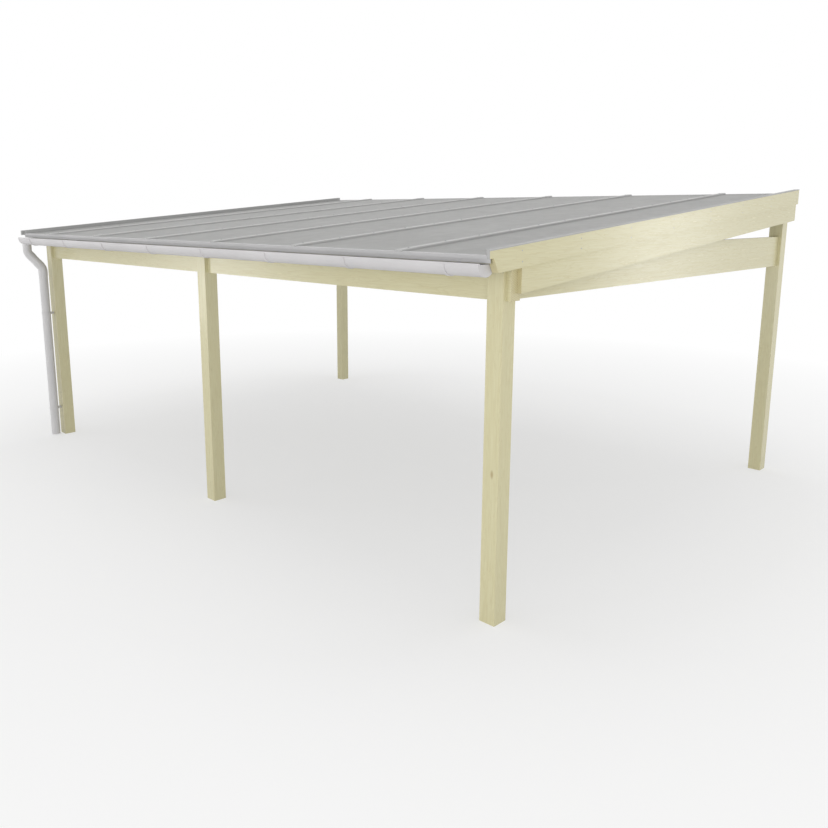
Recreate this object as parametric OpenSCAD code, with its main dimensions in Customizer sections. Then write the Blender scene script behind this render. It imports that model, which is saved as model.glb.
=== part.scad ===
// Open sunroom frame: timber posts, beams and rafters under a lean-to roof of multiwall sheets.
// X runs along the eaves, Y from the eaves to the high side, Z up.
// The origin is on the floor, at the centre of the rectangle that the whole frame covers.

/* [Frame] */
// Length along the eaves, over the posts
frame_w = 6250; // [4500:10:7500]
// Depth from the eaves posts' front to the high posts' back
frame_d = 4380; // [3000:10:5200]
// Clear height under the eaves beam and the gable beams
headroom = 2000; // [1800:10:2400]
// Pitch of the roof, in degrees
roof_pitch = 5; // [4:0.5:8]

/* [Posts] */
// Side of the square posts
post_w = 115; // [90:1:140]
// Thickness of the tongue that a notched post leaves outside its beam
tongue_t = 28; // [18:1:40]

/* [Beams] */
// Height of the eaves beam at its front edge, and of the gable beams
beam_h = 270; // [200:5:315]
// Height of the beam on the high posts, at its front edge
back_beam_h = 225; // [180:5:270]
// Length by which the eaves beam and the high beam run past the corner posts
beam_overrun = 32; // [20:1:60]
// Thickness of the gable beams
gable_beam_t = 56; // [42:1:87]
// Inset of the gable beams from the posts' outer faces
gable_inset = 28; // [10:1:40]

/* [Rafters] */
// Thickness of the rafters under the glazing bars
rafter_t = 56; // [42:1:90]
// Depth of those rafters
rafter_h = 180; // [120:5:220]
// Number of rafters, with a glazing bar on each
rafter_count = 6; // [4:1:6]
// Distance between neighbouring rafters
rafter_pitch = 1000; // [700:10:1200]

/* [Gable trim] */
// Thickness of the gable rafters, the deep boards that close the roof's sides
gable_rafter_t = 28; // [20:1:45]
// Depth of the gable rafters
gable_rafter_h = 282; // [200:1:320]
// Height by which the gable rafters stand above the sheets
gable_rise = 33; // [15:1:60]
// Thickness of the barge boards
barge_t = 16; // [12:1:28]
// Depth of the barge boards and of the gable rafters' front ends
barge_h = 132; // [90:1:170]
// Reach of the barge boards' noses in front of the eaves posts
nose_reach = 232; // [210:1:350]
// Height of a nose at its tip
nose_end_h = 46; // [20:1:80]
// Distance from the posts' front to where a nose's underside turns down into the bevel
nose_step_reach = 195; // [185:1:205]
// Distance from the posts' front to where that bevel ends
nose_bevel_reach = 150; // [100:1:180]
// Thickness of the metal folded over the gable boards' tops
flashing_t = 1.5; // [1:0.5:2.5]
// Height of its lip on the barge boards' outer faces
lip_h = 4; // [3:1:25]
// Width of the battens that carry the outer sheets' edges
batten_t = 45; // [28:1:60]
// Depth of those battens
batten_h = 70; // [45:1:95]

/* [Roof] */
// Thickness of the multiwall sheets
sheet_t = 16; // [10:1:32]
// Reach of the sheets in front of the eaves posts
eaves_reach = 206; // [180:1:208]
// Free space between a sheet's edge and what stands beside it
sheet_gap = 3; // [1:0.5:6]
// Width of the glazing bars' caps
bar_w = 50; // [40:1:70]
// Height of the caps above the sheets
bar_h = 14; // [8:1:25]
// Thickness of the bars' stems between the sheets
stem_t = 8; // [5:1:14]
// Width of the grooves for the rubber strips under the caps
groove_w = 5; // [3:0.5:8]
// Depth of those grooves
groove_h = 3; // [2:0.5:5]
// Wall of the closing profiles on the sheets' ends
profile_t = 2; // [1.5:0.5:3]
// Length of the closing profiles' flanges on the sheets
profile_flange = 28; // [18:1:45]
// Height of the apron that drips into the gutter
apron_h = 25; // [10:1:25]
// Setback of the apron from the profile's front
apron_set = 6; // [0:1:12]

/* [Gutter] */
// Outer radius of the half-round gutter
gutter_r = 70; // [55:1:80]
// Distance from the posts' front to the gutter's middle
gutter_out = 198; // [160:1:240]
// Depth of the gutter's rim below the sheets' underside, at its middle
gutter_drop = 32; // [20:1:60]
// Wall of the gutter
gutter_t = 2; // [1.5:0.5:3]
// Radius of the bead along the front rim
bead_r = 7; // [4:0.5:9]
// Number of hooks under the gutter
hook_count = 8; // [4:2:12]
// Width of the flat steel of the hooks
hook_w = 25; // [20:1:35]
// Thickness of the flat steel of the hooks
hook_t = 5; // [3:0.5:6]
// Distance of the end hooks from the frame's corners
hook_end = 225; // [150:5:400]

/* [Downpipe] */
// Outer radius of the downpipe
pipe_r = 45; // [35:1:50]
// Wall of the downpipe
pipe_t = 2; // [1.5:0.5:3]
// Distance of the gutter's outlet outside the corner post
outlet_out = 28; // [0:1:30]
// Distance of the downpipe inside the corner post's outer face
pipe_in = 50; // [40:1:70]
// Distance from the corner post's front to the downpipe's middle
pipe_out = 80; // [60:1:110]
// Lean of the swan neck from the upright, in degrees
neck_angle = 40; // [30:1:60]
// Middle radius of the swan neck's bends
bend_r = 75; // [60:1:120]
// Height of the downpipe's open end above the floor
pipe_foot = 12; // [5:1:100]
// Length of the outlet's spout below the gutter
spout_h = 60; // [40:1:90]
// Length of the sockets that join the pipes
socket_h = 50; // [35:1:70]
// Free space between a pipe and the socket round it
socket_gap = 0.3; // [0.2:0.1:0.6]
// Height of the pipe clips
clip_h = 24; // [18:1:35]
// Thickness of the pipe clips' bands
clip_t = 2.5; // [1.5:0.5:4]
// Width of the spacers between the clips and the corner post
clip_stem = 20; // [12:1:30]
// Height of the lower clip above the floor
clip_low = 300; // [150:10:600]
// Distance of the upper clip below the downpipe's top
clip_drop = 480; // [150:10:600]

/* [Hidden] */

timber = [0.84, 0.81, 0.66];
sheet_grey = [0.68, 0.68, 0.67];
bar_grey = [0.75, 0.75, 0.75];
gutter_white = [0.83, 0.82, 0.83];
pipe_grey = [0.79, 0.79, 0.79];
round_fn = 64;
cut = 1;
lap = 4;
nose_room = 8;

// Places along X
post_x = frame_w / 2;
side_x = post_x + beam_overrun;
// The flashings' inner legs stand between the gable rafters and the outer sheets
leg_x = side_x - flashing_t;
barge_x = side_x + gable_rafter_t;
outer_x = barge_x + barge_t;
first_rafter_x = -(rafter_count - 1) / 2 * rafter_pitch;
first_hook_x = -post_x + hook_end;
hook_pitch = 2 * (post_x - hook_end) / (hook_count - 1);
pipe_x = -post_x + pipe_in;
outlet_x = -post_x - outlet_out;

// Places along Y are measured from the eaves posts' front faces, and origin_y centres them
front_y = -gutter_out - gutter_r - hook_t;
origin_y = -(frame_d + front_y) / 2;
beam_t = post_w - tongue_t;
inner_y = post_w;
back_inner_y = frame_d - post_w;
// The gable rafters' full depth starts behind the front half of the eaves beam
gable_rafter_front = inner_y - tongue_t;
// Under a short tongue, the gable rafters' front ends stand behind the eaves profile
gable_tongue_front = profile_flange + sheet_gap - eaves_reach;
gable_tongue_h = gable_rise - 2 * profile_t;
// The gutter hooks end there too
hook_back_y = inner_y - tongue_t;

// The roof's planes
rise = tan(roof_pitch);
sheet_v = sheet_t / cos(roof_pitch);
slope_length = (frame_d + eaves_reach) / cos(roof_pitch);
function under(y) = headroom + beam_h + (y - tongue_t) * rise;
function over(y) = under(y) + sheet_v;
function gable_top(y) = over(y) + gable_rise;
back_seat = under(back_inner_y) - back_beam_h;

// Gutter and downpipe
gutter_y = -gutter_out;
gutter_z = under(gutter_y) - gutter_drop;
gutter_bottom = gutter_z - gutter_r;
pipe_y = -pipe_out;
neck_run = norm([pipe_x - outlet_x, pipe_y - gutter_y]);
neck_turn = atan2(pipe_y - gutter_y, pipe_x - outlet_x);
bend_run = bend_r * (1 - cos(neck_angle));
bend_drop = bend_r * sin(neck_angle);
slant_length = (neck_run - 2 * bend_run) / sin(neck_angle);
neck_top = gutter_bottom - spout_h;
neck_drop = 2 * bend_drop + slant_length * cos(neck_angle);
pipe_top = neck_top - neck_drop - lap;
socket_r = pipe_r + socket_gap + pipe_t;

// A solid with the given outline of Y and Z, from x0 to x1
module along_x(x0, x1) {
  translate([x0, origin_y, 0]) rotate([90, 0, 90]) linear_extrude(x1 - x0) children();
}

// A beam or board whose top and bottom follow the roof, drop below the plane of under(y)
module sloped(y0, y1, top, depth) {
  polygon([
    [y0, under(y0) + top - depth], [y1, under(y1) + top - depth],
    [y1, under(y1) + top], [y0, under(y0) + top]
  ]);
}

module front_post(x0) {
  color(timber) along_x(x0, x0 + post_w) polygon([
    [0, 0], [post_w, 0], [post_w, headroom], [tongue_t, headroom],
    [tongue_t, under(tongue_t)], [0, under(0)]
  ]);
}

module back_post(x0) {
  color(timber) along_x(x0, x0 + post_w) polygon([
    [back_inner_y, 0], [frame_d, 0], [frame_d, under(frame_d)],
    [frame_d - tongue_t, under(frame_d - tongue_t)], [frame_d - tongue_t, back_seat],
    [back_inner_y, back_seat]
  ]);
}

module front_beam() {
  color(timber) difference() {
    along_x(-side_x, side_x) polygon([
      [tongue_t, headroom], [inner_y, headroom], [inner_y, under(inner_y)], [tongue_t, under(tongue_t)]
    ]);
    for (i = [0 : hook_count - 1]) hook_bed(first_hook_x + i * hook_pitch);
  }
}

// The recess in the eaves beam's top that a gutter hook's shank lies in
module hook_bed(x) {
  along_x(x - hook_w / 2, x + hook_w / 2) polygon([
    [tongue_t - cut, under(tongue_t - cut) - hook_t], [hook_back_y, under(hook_back_y) - hook_t],
    [hook_back_y, under(inner_y) + cut], [tongue_t - cut, under(inner_y) + cut]
  ]);
}

module back_beam() {
  color(timber) along_x(-side_x, side_x) polygon([
    [back_inner_y, back_seat], [frame_d - tongue_t, back_seat],
    [frame_d - tongue_t, under(frame_d - tongue_t)], [back_inner_y, under(back_inner_y)]
  ]);
}

module gable_beam(x0) {
  color(timber) translate([x0, origin_y + inner_y, headroom])
    cube([gable_beam_t, back_inner_y - inner_y, beam_h]);
}

// A gable board's outline: the nose, stepped back to its bevel, and behind it the given depth
module nose_outline(depth) {
  polygon([
    [-nose_reach, gable_top(-nose_reach) - nose_end_h],
    [-nose_step_reach, gable_top(-nose_step_reach) - nose_end_h],
    [-nose_bevel_reach, gable_top(-nose_bevel_reach) - barge_h],
    [gable_rafter_front, gable_top(gable_rafter_front) - barge_h],
    [gable_rafter_front, gable_top(gable_rafter_front) - depth],
    [frame_d, gable_top(frame_d) - depth],
    [frame_d, gable_top(frame_d)],
    [-nose_reach, gable_top(-nose_reach)]
  ]);
}

// A strip that follows the gable boards' tops, from the given height above them to the given depth below
module along_tops(y0, y1, above, below) {
  polygon([
    [y0, gable_top(y0) - below], [y1, gable_top(y1) - below],
    [y1, gable_top(y1) + above], [y0, gable_top(y0) + above]
  ]);
}

// A gable rafter's outline: its nose is cut back to a tongue over the eaves profile
module gable_rafter_outline() {
  difference() {
    nose_outline(gable_rafter_h);
    along_tops(-nose_reach - cut, -eaves_reach, cut, gable_rafter_h);
    along_tops(-nose_reach - cut, gable_tongue_front, -gable_tongue_h, gable_rafter_h);
  }
}

// The gutter's room under the left boards
module gutter_room() {
  side = 2 * (gutter_r + hook_t + nose_room);
  translate([front_y - nose_room, 0]) square([side, gutter_z + bead_r + nose_room]);
}

module gable_rafter_left() {
  color(timber) along_x(-barge_x, -side_x) difference() {
    gable_rafter_outline();
    gutter_room();
  }
}

module gable_rafter_right() {
  color(timber) along_x(side_x, barge_x) gable_rafter_outline();
}

module barge_board_left() {
  color(timber) along_x(-outer_x, -barge_x) difference() {
    nose_outline(barge_h);
    gutter_room();
  }
}

module barge_board_right() {
  color(timber) along_x(barge_x, outer_x) nose_outline(barge_h);
}

// The flashing's outline: over the nose's tip, above the eaves profile, and down to the sheets' underside
module flashing_outline(tip, front) {
  leg_h = gable_rise + sheet_v;
  polygon([
    [tip, gable_top(tip) - nose_end_h], [front, gable_top(front) - nose_end_h],
    [front, gable_top(front) - gable_tongue_h],
    [gable_tongue_front, gable_top(gable_tongue_front) - gable_tongue_h],
    [gable_tongue_front, gable_top(gable_tongue_front) - leg_h], [frame_d, gable_top(frame_d) - leg_h],
    [frame_d, gable_top(frame_d) + flashing_t], [tip, gable_top(tip) + flashing_t]
  ]);
}

// Metal folded over the right gable boards: a top, a lip outside, a leg inside, and wraps round both ends
module edge_flashing() {
  lip_x = outer_x + flashing_t;
  tip = -nose_reach - flashing_t;
  front = -eaves_reach - flashing_t;
  color(bar_grey) difference() {
    along_x(leg_x, lip_x) flashing_outline(tip, front);
    along_x(leg_x - cut, barge_x - flashing_t) along_tops(tip - cut, front, flashing_t + cut, nose_end_h + cut);
    along_x(side_x, outer_x) along_tops(-eaves_reach, frame_d + cut, 0, gable_rafter_h);
    along_x(barge_x, outer_x) along_tops(-nose_reach, cut - eaves_reach, 0, gable_rafter_h);
    along_x(outer_x - cut, lip_x + cut) along_tops(-nose_reach, frame_d + cut, -lip_h, gable_rafter_h);
  }
}

module edge_batten(x0) {
  color(timber) along_x(x0, x0 + batten_t) sloped(inner_y, back_inner_y, 0, batten_h);
}

module rafter(i) {
  x = first_rafter_x + i * rafter_pitch;
  color(timber) along_x(x - rafter_t / 2, x + rafter_t / 2) sloped(inner_y, back_inner_y, 0, rafter_h);
}

// The outline of Y and Z that children draw from the sheets' front lower edge, up the slope
module on_slope() {
  translate([-eaves_reach, under(-eaves_reach)]) rotate(roof_pitch) children();
}

// The left and right limits of a sheet's bay, at the middles of the bars beside it or at a flashing
function bay_start(i) = i == 0 ? -leg_x : first_rafter_x + (i - 1) * rafter_pitch;
function bay_end(i) = i == rafter_count ? leg_x : first_rafter_x + i * rafter_pitch;

// Children's outline of Y and Z along one bay, clear of a bar by bar_half and of the sides by side_gap
module in_bay(i, bar_half, side_gap = 0) {
  x0 = bay_start(i) + (i == 0 ? side_gap : bar_half) + sheet_gap;
  x1 = bay_end(i) - (i == rafter_count ? side_gap : bar_half) - sheet_gap;
  along_x(x0, x1) on_slope() children();
}

module roof_sheet(i) {
  color(sheet_grey) in_bay(i, stem_t / 2) translate([profile_t, 0])
    square([slope_length - 2 * profile_t, sheet_t]);
}

// A bar's stem stands between two sheets, and its cap has bevelled shoulders and grooves for rubber strips
module glazing_bar(i) {
  shoulder = bar_h / 3;
  groove_x = bar_w / 2 - groove_w;
  x = first_rafter_x + i * rafter_pitch;
  color(bar_grey) translate([x, 0, 0]) {
    along_x(-stem_t / 2, stem_t / 2) on_slope() translate([profile_t, 0])
      square([slope_length - 2 * profile_t, sheet_t + groove_h]);
    translate([0, origin_y - eaves_reach, under(-eaves_reach)])
      rotate([90 + roof_pitch, 0, 0]) translate([0, 0, -slope_length]) linear_extrude(slope_length)
      translate([0, sheet_t]) difference() {
        polygon([
          [-bar_w / 2, 0], [bar_w / 2, 0], [bar_w / 2, bar_h - shoulder], [bar_w / 2 - shoulder, bar_h],
          [shoulder - bar_w / 2, bar_h], [-bar_w / 2, bar_h - shoulder]
        ]);
        for (side = [-1, 1]) translate([side * (groove_x - groove_w / 2) - groove_w / 2, -cut])
          square([groove_w, groove_h + cut]);
      }
  }
}

// A channel over the sheets' front ends and under the gable rafters' tongues, with an apron that drips
module eaves_profile() {
  end_x = barge_x - sheet_gap;
  color(bar_grey) {
    along_x(-end_x, end_x) on_slope() {
      translate([0, -profile_t]) square([profile_t, sheet_t + profile_t]);
      translate([0, -profile_t]) square([profile_flange, profile_t]);
      translate([apron_set, -apron_h]) square([profile_t, apron_h]);
    }
    for (i = [0 : rafter_count]) in_bay(i, bar_w / 2, leg_x - end_x - sheet_gap) {
      translate([0, sheet_t - profile_t]) square([profile_t, 2 * profile_t]);
      translate([0, sheet_t]) square([profile_flange, profile_t]);
    }
  }
}

// An angle over the sheets' high ends, with its top flange between the bars
module back_profile() {
  end_x = leg_x - sheet_gap;
  color(bar_grey) {
    along_x(-end_x, end_x) on_slope() translate([slope_length - profile_t, 0]) square([profile_t, sheet_t]);
    for (i = [0 : rafter_count]) in_bay(i, bar_w / 2) {
      translate([slope_length - profile_t, sheet_t - profile_t]) square([profile_t, 2 * profile_t]);
      translate([slope_length - profile_flange, sheet_t]) square([profile_flange, profile_t]);
    }
  }
}

// Children's outline in the gutter's section, whose middle is the centre of the half round
module in_gutter(x0, x1) {
  along_x(x0, x1) translate([gutter_y, gutter_z]) children();
}

// The lower half of a ring
module half_ring(outer, inner) {
  difference() {
    circle(outer, $fn = round_fn);
    circle(inner, $fn = round_fn);
    translate([-outer - cut, 0]) square([2 * outer + 2 * cut, outer + cut]);
  }
}

module gutter() {
  color(gutter_white) difference() {
    union() {
      in_gutter(-outer_x, side_x - sheet_gap) {
        half_ring(gutter_r, gutter_r - gutter_t);
        translate([bead_r - gutter_r, 0]) circle(bead_r, $fn = round_fn);
      }
      for (x0 = [-outer_x, side_x - sheet_gap - gutter_t]) in_gutter(x0, x0 + gutter_t)
        half_ring(gutter_r, 0);
    }
    translate([outlet_x, origin_y + gutter_y, gutter_bottom - cut])
      cylinder(gutter_r, r = pipe_r - pipe_t, $fn = round_fn);
  }
}

// Flat steel let into the eaves beam's top, bent down at the gutter's back and round under it
module gutter_hooks() {
  back = gutter_y + gutter_r;
  color(gutter_white) for (i = [0 : hook_count - 1]) {
    x0 = first_hook_x + i * hook_pitch - hook_w / 2;
    along_x(x0, x0 + hook_w) {
      polygon([
        [back, under(back) - hook_t], [hook_back_y, under(hook_back_y) - hook_t],
        [hook_back_y, under(hook_back_y)], [back, under(back)]
      ]);
      translate([back, gutter_z]) square([hook_t, under(back) - gutter_z]);
      translate([gutter_y, gutter_z]) half_ring(gutter_r + hook_t, gutter_r);
    }
  }
}

module tube(length, r0, r1) {
  difference() {
    cylinder(length, r = r1, $fn = round_fn);
    translate([0, 0, -cut]) cylinder(length + 2 * cut, r = r0, $fn = round_fn);
  }
}

// A spout coped to the gutter's underside
module gutter_outlet() {
  color(pipe_grey) difference() {
    translate([outlet_x, origin_y + gutter_y, neck_top]) tube(gutter_z - neck_top, pipe_r - pipe_t, pipe_r);
    in_gutter(-outer_x - pipe_r, outlet_x + 2 * pipe_r) circle(gutter_r, $fn = round_fn);
  }
}

// A pipe bend in the plane of X and Z: it starts upright at the origin and leans towards +X
module bend() {
  translate([bend_r, 0, 0]) rotate([90, 0, 0]) rotate([0, 0, 180])
    rotate_extrude(angle = neck_angle, $fn = round_fn) translate([bend_r, 0]) difference() {
      circle(pipe_r, $fn = round_fn);
      circle(pipe_r - pipe_t, $fn = round_fn);
    }
}

// A collar from lap above a pipe joint to the given depth below it, which holds both ends
module collar(depth) {
  translate([0, 0, -depth]) tube(depth + lap, pipe_r - pipe_t / 2, pipe_r + pipe_t);
}

// Two bends and the slanting pipe between them, and below them an upright end in the downpipe's socket
module swan_neck() {
  inner = pipe_r - pipe_t;
  color(pipe_grey) translate([outlet_x, origin_y + gutter_y, neck_top]) rotate([0, 0, neck_turn]) {
    bend();
    translate([bend_run, 0, -bend_drop]) rotate([0, -neck_angle, 0]) {
      translate([0, 0, cut - slant_length]) tube(slant_length - 2 * cut, inner, pipe_r);
      collar(socket_h);
      translate([0, 0, -slant_length]) mirror([0, 0, 1]) collar(socket_h);
    }
    translate([neck_run, 0, -neck_drop]) {
      rotate([0, 0, 180]) mirror([0, 0, 1]) bend();
      collar(lap);
      translate([0, 0, -lap - socket_h]) tube(lap + socket_h - cut, inner, pipe_r);
    }
  }
}

// The downpipe widens at its top into a socket round the swan neck's end
module downpipe() {
  shoulder = pipe_top - socket_h;
  color(pipe_grey) translate([pipe_x, origin_y + pipe_y, 0]) {
    translate([0, 0, pipe_foot]) tube(shoulder - pipe_foot, pipe_r - pipe_t, pipe_r);
    difference() {
      translate([0, 0, shoulder - pipe_t]) tube(socket_h + pipe_t, pipe_r - pipe_t / 2, socket_r);
      translate([0, 0, shoulder]) cylinder(socket_h + cut, r = pipe_r + socket_gap, $fn = round_fn);
    }
  }
}

// Bands round the downpipe, each on a spacer that is screwed to the corner post
module pipe_clips() {
  color(pipe_grey) for (z = [clip_low, pipe_top - clip_drop]) translate([pipe_x, origin_y + pipe_y, z]) {
    tube(clip_h, pipe_r, pipe_r + clip_t);
    difference() {
      translate([-clip_stem / 2, 0, 0]) cube([clip_stem, pipe_out, clip_h]);
      translate([0, 0, -cut]) cylinder(clip_h + 2 * cut, r = pipe_r + clip_t / 2, $fn = round_fn);
    }
  }
}

front_post(-post_x);  // post_front_left
front_post(-post_w / 2);  // post_front_middle
front_post(post_x - post_w);  // post_front_right
back_post(-post_x);  // post_back_left
back_post(post_x - post_w);  // post_back_right
front_beam();
back_beam();
gable_beam(-post_x + gable_inset);  // gable_beam_left
gable_beam(post_x - gable_inset - gable_beam_t);  // gable_beam_right
gable_rafter_left();
gable_rafter_right();
barge_board_left();
barge_board_right();
mirror([1, 0, 0]) edge_flashing();  // edge_flashing_left
edge_flashing();  // edge_flashing_right
edge_batten(-side_x);  // edge_batten_left
edge_batten(side_x - batten_t);  // edge_batten_right
rafter(0);  // rafter_1
rafter(1);  // rafter_2
rafter(2);  // rafter_3
rafter(3);  // rafter_4
rafter(4);  // rafter_5
rafter(5);  // rafter_6
roof_sheet(0);  // roof_sheet_1
roof_sheet(1);  // roof_sheet_2
roof_sheet(2);  // roof_sheet_3
roof_sheet(3);  // roof_sheet_4
roof_sheet(4);  // roof_sheet_5
roof_sheet(5);  // roof_sheet_6
roof_sheet(6);  // roof_sheet_7
glazing_bar(0);  // glazing_bar_1
glazing_bar(1);  // glazing_bar_2
glazing_bar(2);  // glazing_bar_3
glazing_bar(3);  // glazing_bar_4
glazing_bar(4);  // glazing_bar_5
glazing_bar(5);  // glazing_bar_6
eaves_profile();
back_profile();
gutter();
gutter_hooks();
gutter_outlet();
swan_neck();
downpipe();
pipe_clips();
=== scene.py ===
"""The looks of an open sunroom frame: finishes, fixings, floor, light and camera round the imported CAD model."""

import math

import bmesh
import bpy
from mathutils import Matrix, Vector


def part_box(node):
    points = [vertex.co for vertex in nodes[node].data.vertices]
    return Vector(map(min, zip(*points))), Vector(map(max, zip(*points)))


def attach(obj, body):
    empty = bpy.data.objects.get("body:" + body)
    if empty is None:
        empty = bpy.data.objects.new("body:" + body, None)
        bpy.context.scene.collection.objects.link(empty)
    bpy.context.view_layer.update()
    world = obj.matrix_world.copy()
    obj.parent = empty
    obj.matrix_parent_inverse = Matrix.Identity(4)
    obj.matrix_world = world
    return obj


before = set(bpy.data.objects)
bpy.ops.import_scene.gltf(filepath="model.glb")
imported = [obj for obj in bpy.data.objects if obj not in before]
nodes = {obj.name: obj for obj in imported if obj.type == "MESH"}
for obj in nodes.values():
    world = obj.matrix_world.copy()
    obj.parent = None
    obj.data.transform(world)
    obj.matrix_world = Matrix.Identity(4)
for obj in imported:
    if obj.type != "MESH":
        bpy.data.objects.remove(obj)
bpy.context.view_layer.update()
scene = bpy.context.scene

ALONG_X, ALONG_Y, ALONG_Z = 0, 1, 2
TIMBER_ARRIS = 0.003
METAL_ARRIS = 0.0008
ARRIS_ANGLE = math.radians(50)
LAMELLA = 0.0383
SHEET_CHANNEL = 0.02


# ---------------------------------------------------------------- helpers

def srgb(red, green, blue):
    """The linear colour of an 8-bit display colour."""

    def linear(value):
        c = value / 255
        return c / 12.92 if c <= 0.04045 else ((c + 0.055) / 1.055) ** 2.4

    return (linear(red), linear(green), linear(blue), 1.0)


class Shader:
    """A material under construction, with short calls for the nodes that it needs."""

    def __init__(self, name):
        self.material = bpy.data.materials.new(name)
        self.material.use_nodes = True
        self.tree = self.material.node_tree
        self.bsdf = self.tree.nodes["Principled BSDF"]

    def node(self, kind, **settings):
        made = self.tree.nodes.new(kind)
        for key, value in settings.items():
            setattr(made, key, value)
        return made

    def link(self, source, target):
        self.tree.links.new(source, target)

    def put(self, socket, value):
        if isinstance(value, bpy.types.NodeSocket):
            self.link(value, socket)
        else:
            socket.default_value = value

    def math(self, operation, a, b=0.0, c=0.0, clamp=False):
        made = self.node("ShaderNodeMath", operation=operation, use_clamp=clamp)
        for socket, value in zip(made.inputs, (a, b, c)):
            self.put(socket, value)
        return made.outputs[0]

    def mix(self, factor, a, b, blend="MIX"):
        made = self.node("ShaderNodeMix", data_type="RGBA", blend_type=blend)
        self.put(made.inputs["Factor"], factor)
        self.put(made.inputs["A"], a)
        self.put(made.inputs["B"], b)
        return made.outputs["Result"]

    def spread(self, value, low, high, to_low=0.0, to_high=1.0):
        made = self.node("ShaderNodeMapRange")
        for socket, number in zip(made.inputs, (value, low, high, to_low, to_high)):
            self.put(socket, number)
        return made.outputs["Result"]

    def place(self):
        return self.node("ShaderNodeTexCoord").outputs["Object"]

    def scaled(self, vector, scale):
        made = self.node("ShaderNodeMapping")
        self.link(vector, made.inputs["Vector"])
        made.inputs["Scale"].default_value = scale
        return made.outputs["Vector"]

    def noise(self, vector, scale, detail=2.0, rough=0.5, distortion=0.0):
        made = self.node("ShaderNodeTexNoise")
        self.link(vector, made.inputs["Vector"])
        made.inputs["Scale"].default_value = scale
        made.inputs["Detail"].default_value = detail
        made.inputs["Roughness"].default_value = rough
        made.inputs["Distortion"].default_value = distortion
        return made.outputs["Fac"]

    def channel(self, colour):
        made = self.node("ShaderNodeSeparateColor")
        self.link(colour, made.inputs[0])
        return made.outputs["Red"]

    def end_grain(self, grain):
        """One on faces that cut the fibres, zero on the others."""
        facing = self.node("ShaderNodeSeparateXYZ")
        self.link(self.node("ShaderNodeNewGeometry").outputs["True Normal"], facing.inputs[0])
        return self.math("GREATER_THAN", self.math("ABSOLUTE", facing.outputs[grain]), 0.7)

    def end_rings(self, place):
        """Growth rings as they show on a sawn end."""
        made = self.node("ShaderNodeTexWave", wave_type="RINGS", rings_direction="SPHERICAL")
        self.link(place, made.inputs["Vector"])
        made.inputs["Scale"].default_value = 45.0
        made.inputs["Distortion"].default_value = 2.0
        made.inputs["Detail"].default_value = 2.0
        return made.outputs["Fac"]

    def surface(self):
        return self.tree.nodes["Material Output"].inputs["Surface"]

    def bump(self, height, distance, strength=1.0):
        made = self.node("ShaderNodeBump")
        made.inputs["Distance"].default_value = distance
        made.inputs["Strength"].default_value = strength
        self.link(height, made.inputs["Height"])
        self.link(made.outputs["Normal"], self.bsdf.inputs["Normal"])


# ---------------------------------------------------------------- materials

def timber(name, grain, lamella):
    """Planed, glued softwood with a pale stain. grain is the axis of the fibres, lamella that of the layers."""
    s = Shader(name)
    place = s.place()
    shift = s.node("ShaderNodeVectorMath", operation="ADD")
    chance = s.math("MULTIPLY", s.node("ShaderNodeObjectInfo").outputs["Random"], 37.0)
    s.link(place, shift.inputs[0])
    s.link(chance, shift.inputs[1])
    own = shift.outputs["Vector"]

    stretch = [1.0, 1.0, 1.0]
    stretch[grain] = 0.035
    fibre = s.noise(s.scaled(own, stretch), 140.0, 3.0, 0.6)
    stretch[grain] = 0.09
    figure = s.noise(s.scaled(own, stretch), 22.0, 2.0, 0.5, 0.6)
    rings = s.math("FRACT", s.math("MULTIPLY", figure, 9.0))
    late = s.spread(rings, 0.55, 0.95)

    axes = s.node("ShaderNodeSeparateXYZ")
    s.link(place, axes.inputs[0])
    layer = s.math("DIVIDE", axes.outputs[lamella], LAMELLA)
    number = s.math("FLOOR", layer)
    tone = s.node("ShaderNodeTexWhiteNoise", noise_dimensions="1D")
    s.link(s.math("ADD", number, chance), tone.inputs["W"])
    across = s.math("ABSOLUTE", s.math("SUBTRACT", s.math("FRACT", layer), 0.5))
    seam = s.spread(across, 0.488, 0.497)

    stretch[grain] = 0.42
    knots = s.node("ShaderNodeTexVoronoi")
    s.link(s.scaled(own, stretch), knots.inputs["Vector"])
    knots.inputs["Scale"].default_value = 5.2
    knot_heart = s.spread(knots.outputs["Distance"], 0.075, 0.03)
    rare = s.math("GREATER_THAN", s.channel(knots.outputs["Color"]), 0.72)
    knot = s.math("MULTIPLY", knot_heart, rare)

    pale = srgb(213, 208, 172)
    warm = srgb(201, 193, 150)
    honey = srgb(176, 158, 110)
    colour = s.mix(s.spread(fibre, 0.3, 0.7, 0.0, 0.6), pale, warm)
    colour = s.mix(s.math("MULTIPLY", late, 0.16), colour, honey)
    colour = s.mix(s.spread(tone.outputs["Value"], 0.0, 1.0, 0.0, 0.22), colour, warm)
    colour = s.mix(s.math("MULTIPLY", seam, 0.22), colour, honey)
    colour = s.mix(s.math("MULTIPLY", knot, 0.55), colour, srgb(146, 116, 70))

    ends = s.end_grain(grain)
    colour = s.mix(ends, colour, s.mix(s.end_rings(place), srgb(208, 201, 163), srgb(190, 179, 136)))
    s.link(colour, s.bsdf.inputs["Base Color"])
    s.link(s.spread(fibre, 0.3, 0.7, 0.2, 0.28), s.bsdf.inputs["Roughness"])
    s.bump(s.math("ADD", fibre, s.math("MULTIPLY", seam, -1.5)), 0.0004, 0.35)
    return s.material


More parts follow.
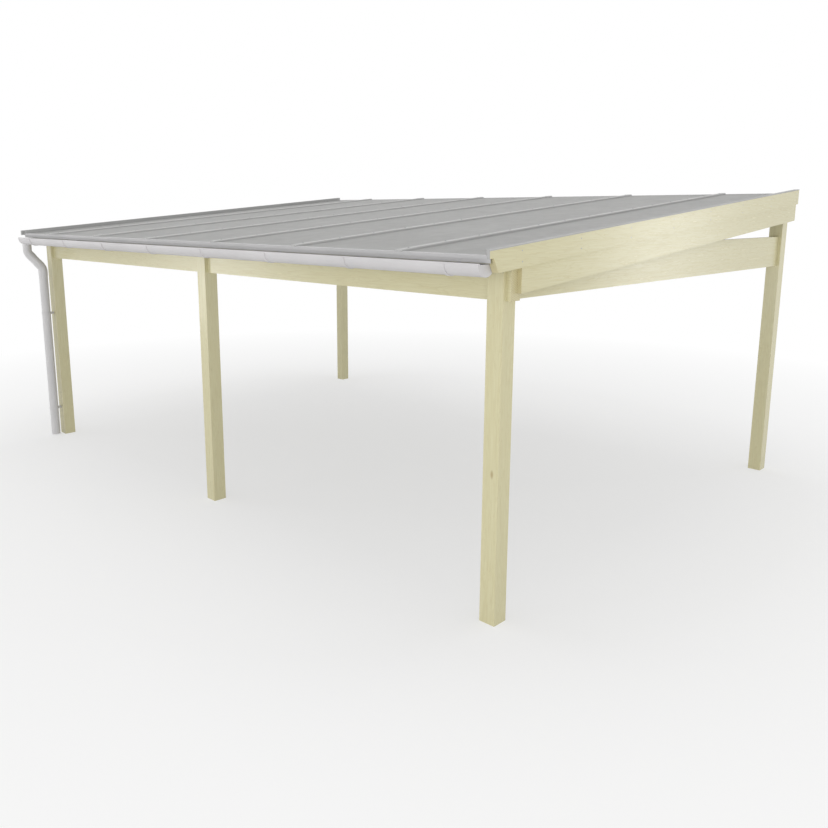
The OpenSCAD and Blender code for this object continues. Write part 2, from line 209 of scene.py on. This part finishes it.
def multiwall():
    """Opal grey multiwall plastic, with the webs of its channels showing faintly as lines up the slope."""
    s = Shader("multiwall_sheet")
    place = s.place()
    axes = s.node("ShaderNodeSeparateXYZ")
    s.link(place, axes.inputs[0])
    across = s.math("FRACT", s.math("DIVIDE", axes.outputs["X"], SHEET_CHANNEL))
    web = s.spread(s.math("ABSOLUTE", s.math("SUBTRACT", across, 0.5)), 0.44, 0.49)
    cloud = s.noise(place, 1.6, 3.0)
    colour = s.mix(s.spread(cloud, 0.3, 0.7), srgb(170, 170, 168), srgb(176, 176, 174))
    colour = s.mix(s.math("MULTIPLY", web, 0.35), colour, srgb(157, 157, 156))
    s.link(colour, s.bsdf.inputs["Base Color"])
    s.link(s.spread(s.noise(place, 9.0, 4.0), 0.3, 0.7, 0.3, 0.42), s.bsdf.inputs["Roughness"])
    s.bump(web, 0.0003, 0.3)
    glow = s.node("ShaderNodeBsdfTranslucent")
    s.link(colour, glow.inputs["Color"])
    blend = s.node("ShaderNodeMixShader")
    blend.inputs["Fac"].default_value = 0.3
    s.link(s.bsdf.outputs["BSDF"], blend.inputs[1])
    s.link(glow.outputs["BSDF"], blend.inputs[2])
    s.link(blend.outputs["Shader"], s.surface())
    return s.material


def metal(name, tint, darker, roughness, metallic):
    """Coated or mill-finish metal with a faint drawn streak and an uneven sheen."""
    s = Shader(name)
    place = s.place()
    streak = s.noise(s.scaled(place, (0.5, 6.0, 6.0)), 60.0, 2.0)
    cloud = s.noise(place, 3.0, 3.0)
    factor = s.spread(s.math("ADD", s.math("MULTIPLY", streak, 0.5), cloud), 0.5, 1.0)
    s.link(s.mix(factor, tint, darker), s.bsdf.inputs["Base Color"])
    s.link(s.spread(cloud, 0.3, 0.7, roughness - 0.05, roughness + 0.07), s.bsdf.inputs["Roughness"])
    s.bsdf.inputs["Metallic"].default_value = metallic
    s.bump(streak, 0.0002, 0.15)
    return s.material


def finish_nodes():
    """Gives each CAD node its finish, and the timber and metal edges a fine arris."""
    wood = {
        "post": timber("timber_upright", ALONG_Z, ALONG_X),
        "front_beam": timber("timber_eaves", ALONG_X, ALONG_Z),
        "back_beam": timber("timber_high", ALONG_X, ALONG_Z),
        "gable_beam": timber("timber_gable", ALONG_Y, ALONG_Z),
        "gable_rafter": timber("timber_boards", ALONG_Y, ALONG_X),
        "barge_board": timber("timber_barge", ALONG_Y, ALONG_X),
        "edge_batten": timber("timber_battens", ALONG_Y, ALONG_X),
        "rafter": timber("timber_rafters", ALONG_Y, ALONG_Z),
    }
    bar = metal("mill_aluminium", srgb(190, 190, 189), srgb(183, 183, 182), 0.5, 0.0)
    eaves = metal("eaves_coating", srgb(194, 193, 194), srgb(187, 187, 187), 0.5, 0.0)
    flashing = metal("folded_flashing", srgb(174, 174, 173), srgb(168, 168, 167), 0.55, 0.0)
    gutter = metal("gutter_coating", srgb(208, 206, 207), srgb(201, 199, 200), 0.45, 0.0)
    pipe = metal("pipe_coating", srgb(208, 207, 207), srgb(201, 200, 201), 0.45, 0.0)
    sheet = multiwall()
    for name, node in nodes.items():
        arris = METAL_ARRIS
        if name.startswith("roof_sheet"):
            finish, arris = sheet, 0.0
        elif name == "eaves_profile":
            finish = eaves
        elif name.startswith("glazing_bar") or name.endswith("profile"):
            finish = bar
        elif name.startswith("edge_flashing"):
            finish = flashing
        elif name.startswith("gutter") and name != "gutter_outlet":
            finish = gutter
        elif name in ("gutter_outlet", "swan_neck", "downpipe", "pipe_clips"):
            finish, arris = pipe, 0.0
        else:
            finish = next(wood[key] for key in wood if name.startswith(key))
            arris = TIMBER_ARRIS
        node.data.materials.clear()
        node.data.materials.append(finish)
        if arris:
            add_arris(node, arris)


def add_arris(node, width):
    rounded = node.modifiers.new("arris", "BEVEL")
    rounded.width = width
    rounded.segments = 2
    rounded.limit_method = "ANGLE"
    rounded.angle_limit = ARRIS_ANGLE
    rounded.use_clamp_overlap = True


# ---------------------------------------------------------------- fixings and seals

PITCH = math.radians(5)
UP_SLOPE = Vector((0.0, math.cos(PITCH), math.sin(PITCH)))
OFF_SLOPE = Vector((0.0, -math.sin(PITCH), math.cos(PITCH)))
SHEET = 0.016
CAP_HEIGHT = 0.014
CAP_WIDTH = 0.05
BAR_COUNT = 6
BAR_SCREWS = 14
BAR_SCREW_INSET = 0.09
BAR_WASHER = (0.0075, 0.0012)
BAR_HEAD = (0.0042, 0.0028)
SEAL_INSET = 0.03
SEAL_WIDTH = 0.0022
SEAL_HEIGHT = 0.0018
BOARD_SCREW_PAIRS = 8
BOARD_SCREW_INSET = 0.06
BOARD_SCREW_REACH = 0.35
BOARD_SCREW_DROPS = (0.035, 0.097)
BOARD_SCREW = (0.0045, 0.0009)
BEAM_BOLT_PLACES = ((-0.028, 2.06), (0.028, 2.2))
BEAM_WASHER = (0.016, 0.002)
BEAM_NUT = (0.0098, 0.008)
BEAM_BOLT_END = (0.005, 0.005)


def add_piece(name, mesh, finish):
    """A Blender-only piece that goes with the frame."""
    piece = bpy.data.objects.new(name, mesh)
    scene.collection.objects.link(piece)
    mesh.materials.append(finish)
    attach(piece, "root")
    return piece


def add_turned(work, place, axis, radius, height, sides):
    """A disc or a hexagon that stands on place along axis."""
    turn = Vector((0, 0, 1)).rotation_difference(axis).to_matrix().to_4x4()
    matrix = Matrix.Translation(place + axis * height / 2) @ turn
    bmesh.ops.create_cone(
        work, cap_ends=True, segments=sides, radius1=radius, radius2=radius * 0.93, depth=height, matrix=matrix
    )


def add_block(work, corner, along, across, upward):
    """A box from one corner and its three edges."""
    points = [corner + along * i + across * j + upward * k for k in (0, 1) for j in (0, 1) for i in (0, 1)]
    made = [work.verts.new(point) for point in points]
    for face in ((0, 2, 3, 1), (4, 5, 7, 6), (0, 1, 5, 4), (2, 6, 7, 3), (0, 4, 6, 2), (1, 3, 7, 5)):
        work.faces.new([made[i] for i in face])


def to_mesh(name, work):
    mesh = bpy.data.meshes.new(name)
    bmesh.ops.recalc_face_normals(work, faces=work.faces)
    work.to_mesh(mesh)
    work.free()
    return mesh


def bar_start(low):
    """The front lower corner of the sheets beside a bar, from the bar's box."""
    rise = SHEET + CAP_HEIGHT
    return Vector((0.0, low.y + rise * math.sin(PITCH), low.z))


def make_bar_fixings(steel, rubber):
    """Screws with washers along the bars' caps, and the lips of the rubber strips beside the caps."""
    seals = bmesh.new()
    for number in range(1, BAR_COUNT + 1):
        low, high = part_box(f"glazing_bar_{number}")
        middle = (low.x + high.x) / 2
        start = bar_start(low) + Vector((middle, 0.0, 0.0))
        length = (high.y - low.y) / math.cos(PITCH)
        screws = bmesh.new()
        for i in range(BAR_SCREWS):
            along = BAR_SCREW_INSET + (length - 2 * BAR_SCREW_INSET) * i / (BAR_SCREWS - 1)
            top = start + UP_SLOPE * along + OFF_SLOPE * (SHEET + CAP_HEIGHT)
            add_turned(screws, top, OFF_SLOPE, *BAR_WASHER, 20)
            add_turned(screws, top + OFF_SLOPE * BAR_WASHER[1], OFF_SLOPE, *BAR_HEAD, 6)
        add_piece(f"bar_screws_{number}", to_mesh(f"bar_screws_{number}", screws), steel)
        for side in (-1, 1):
            edge = start + Vector((side * CAP_WIDTH / 2, 0, 0)) + UP_SLOPE * SEAL_INSET + OFF_SLOPE * SHEET
            along = UP_SLOPE * (length - 2 * SEAL_INSET)
            add_block(seals, edge, along, Vector((side * SEAL_WIDTH, 0, 0)), OFF_SLOPE * SEAL_HEIGHT)
    add_piece("bar_seals", to_mesh("bar_seals", seals), rubber)


def make_board_screws(steel):
    """Countersunk screws in pairs along the barge boards' faces."""
    for side, name in ((-1, "left"), (1, "right")):
        low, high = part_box(f"barge_board_{name}")
        face = high.x if side > 0 else low.x
        work = bmesh.new()
        top = Vector((face, high.y, high.z))
        run = (high.y - low.y - BOARD_SCREW_REACH) / math.cos(PITCH)
        for i in range(BOARD_SCREW_PAIRS):
            along = BOARD_SCREW_INSET + run * i / (BOARD_SCREW_PAIRS - 1)
            for drop in BOARD_SCREW_DROPS:
                place = top - UP_SLOPE * along - OFF_SLOPE * drop
                place.x = face
                add_turned(work, place, Vector((side, 0, 0)), *BOARD_SCREW, 20)
        add_piece(f"board_screws_{name}", to_mesh(f"board_screws_{name}", work), steel)


def make_beam_bolts(steel):
    """Washers and nuts of the bolts through the eaves posts' tongues, on the beam's inner face."""
    for name in ("left", "middle", "right"):
        low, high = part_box(f"post_front_{name}")
        work = bmesh.new()
        inward = Vector((0, 1, 0))
        for shift, height in BEAM_BOLT_PLACES:
            place = Vector(((low.x + high.x) / 2 + shift, high.y, height))
            add_turned(work, place, inward, *BEAM_WASHER, 28)
            place = place + inward * BEAM_WASHER[1]
            add_turned(work, place, inward, *BEAM_NUT, 6)
            add_turned(work, place + inward * BEAM_NUT[1], inward, *BEAM_BOLT_END, 16)
        add_piece(f"beam_bolts_{name}", to_mesh(f"beam_bolts_{name}", work), steel)


def make_fixings():
    steel = metal("stainless_steel", srgb(178, 178, 180), srgb(150, 150, 152), 0.35, 0.8)
    rubber = metal("grey_rubber", srgb(186, 186, 185), srgb(178, 178, 178), 0.7, 0.0)
    make_bar_fixings(steel, rubber)
    make_board_screws(steel)
    make_beam_bolts(steel)


# ---------------------------------------------------------------- stage

def make_camera():
    """The photograph's viewpoint, from the near corner post's outer faces."""
    low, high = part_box("post_front_right")
    data = bpy.data.cameras.new("camera")
    camera = bpy.data.objects.new("camera", data)
    scene.collection.objects.link(camera)
    camera.location = (high.x + 2.709, low.y - 3.643, 2.498)
    camera.rotation_euler = (math.radians(90 - 11.11), 0.0, math.radians(45.0))
    data.sensor_width = 36.0
    data.lens = 34.66
    data.shift_x = 0.0335
    data.shift_y = -0.0551
    data.clip_end = 400.0
    scene.camera = camera


def camera_ray(s):
    """One for rays that show a background to the camera, directly or in gloss or glass."""
    path = s.node("ShaderNodeLightPath")
    seen = s.math("ADD", path.outputs["Is Camera Ray"], path.outputs["Is Glossy Ray"])
    return s.math("ADD", seen, path.outputs["Is Transmission Ray"], clamp=True)


def make_floor():
    """A pale floor that keeps the shadow near the frame and fades to plain white further out."""
    half = 60.0
    mesh = bpy.data.meshes.new("floor")
    mesh.from_pydata([(-half, -half, 0), (half, -half, 0), (half, half, 0), (-half, half, 0)], [], [(0, 1, 2, 3)])
    floor = bpy.data.objects.new("floor", mesh)
    scene.collection.objects.link(floor)
    s = Shader("floor")
    s.bsdf.inputs["Roughness"].default_value = 0.9
    s.bsdf.inputs["Base Color"].default_value = srgb(236, 236, 236)
    s.bsdf.inputs["Specular IOR Level"].default_value = 0.1
    away = s.node("ShaderNodeVectorMath", operation="LENGTH")
    s.link(s.place(), away.inputs[0])
    far = s.spread(away.outputs["Value"], 4.0, 9.0, 0.55, 1.0)
    far = s.math("MULTIPLY", far, camera_ray(s))
    white = s.node("ShaderNodeEmission")
    white.inputs["Strength"].default_value = 1.0
    blend = s.node("ShaderNodeMixShader")
    s.link(far, blend.inputs["Fac"])
    s.link(s.bsdf.outputs["BSDF"], blend.inputs[1])
    s.link(white.outputs["Emission"], blend.inputs[2])
    s.link(blend.outputs["Shader"], s.surface())
    mesh.materials.append(s.material)


def make_world():
    """A plain white studio: white where it is seen, softer where it lights."""
    world = bpy.data.worlds.new("studio")
    scene.world = world
    world.use_nodes = True
    tree = world.node_tree
    background = tree.nodes["Background"]
    background.inputs["Color"].default_value = (1.0, 1.0, 1.0, 1.0)
    path = tree.nodes.new("ShaderNodeLightPath")
    seen = path.outputs["Is Camera Ray"]
    for kind in ("Is Glossy Ray", "Is Transmission Ray"):
        either = tree.nodes.new("ShaderNodeMath")
        either.operation = "MAXIMUM"
        tree.links.new(seen, either.inputs[0])
        tree.links.new(path.outputs[kind], either.inputs[1])
        seen = either.outputs[0]
    level = tree.nodes.new("ShaderNodeMapRange")
    level.inputs["To Min"].default_value = 0.68
    level.inputs["To Max"].default_value = 1.0
    tree.links.new(seen, level.inputs["Value"])
    tree.links.new(level.outputs["Result"], background.inputs["Strength"])


def add_lamp(name, place, aim, width, height, power):
    data = bpy.data.lights.new(name, "AREA")
    data.shape = "RECTANGLE"
    data.size = width
    data.size_y = height
    data.energy = power
    lamp = bpy.data.objects.new(name, data)
    scene.collection.objects.link(lamp)
    lamp.location = place
    lamp.rotation_euler = (Vector(aim) - Vector(place)).to_track_quat("-Z", "Y").to_euler()


def make_lights():
    """Upright soft boxes give the sheens on the posts, the eaves and the gable; two large ones fill."""
    add_lamp("left_front", (-9.2, -8.3, 2.3), (0.0, -2.3, 2.2), 2.0, 4.4, 100)
    add_lamp("front", (-3.4, -16.8, 2.3), (1.0, 0.0, 2.2), 3.0, 4.4, 230)
    add_lamp("right", (15.3, 5.6, 2.3), (0.0, -1.0, 2.2), 3.0, 4.4, 110)
    add_lamp("right_back", (9.0, 11.1, 2.3), (3.2, 0.2, 2.3), 1.4, 4.4, 90)
    add_lamp("overhead", (0.0, 0.0, 12.0), (0.0, 0.0, 0.0), 9.0, 9.0, 320)
    add_lamp("camera_side", (10.0, -11.0, 2.0), (0.0, 0.0, 1.9), 6.0, 4.0, 350)


finish_nodes()
make_fixings()
make_camera()
make_floor()
make_world()
make_lights()
scene.view_settings.view_transform = "Standard"
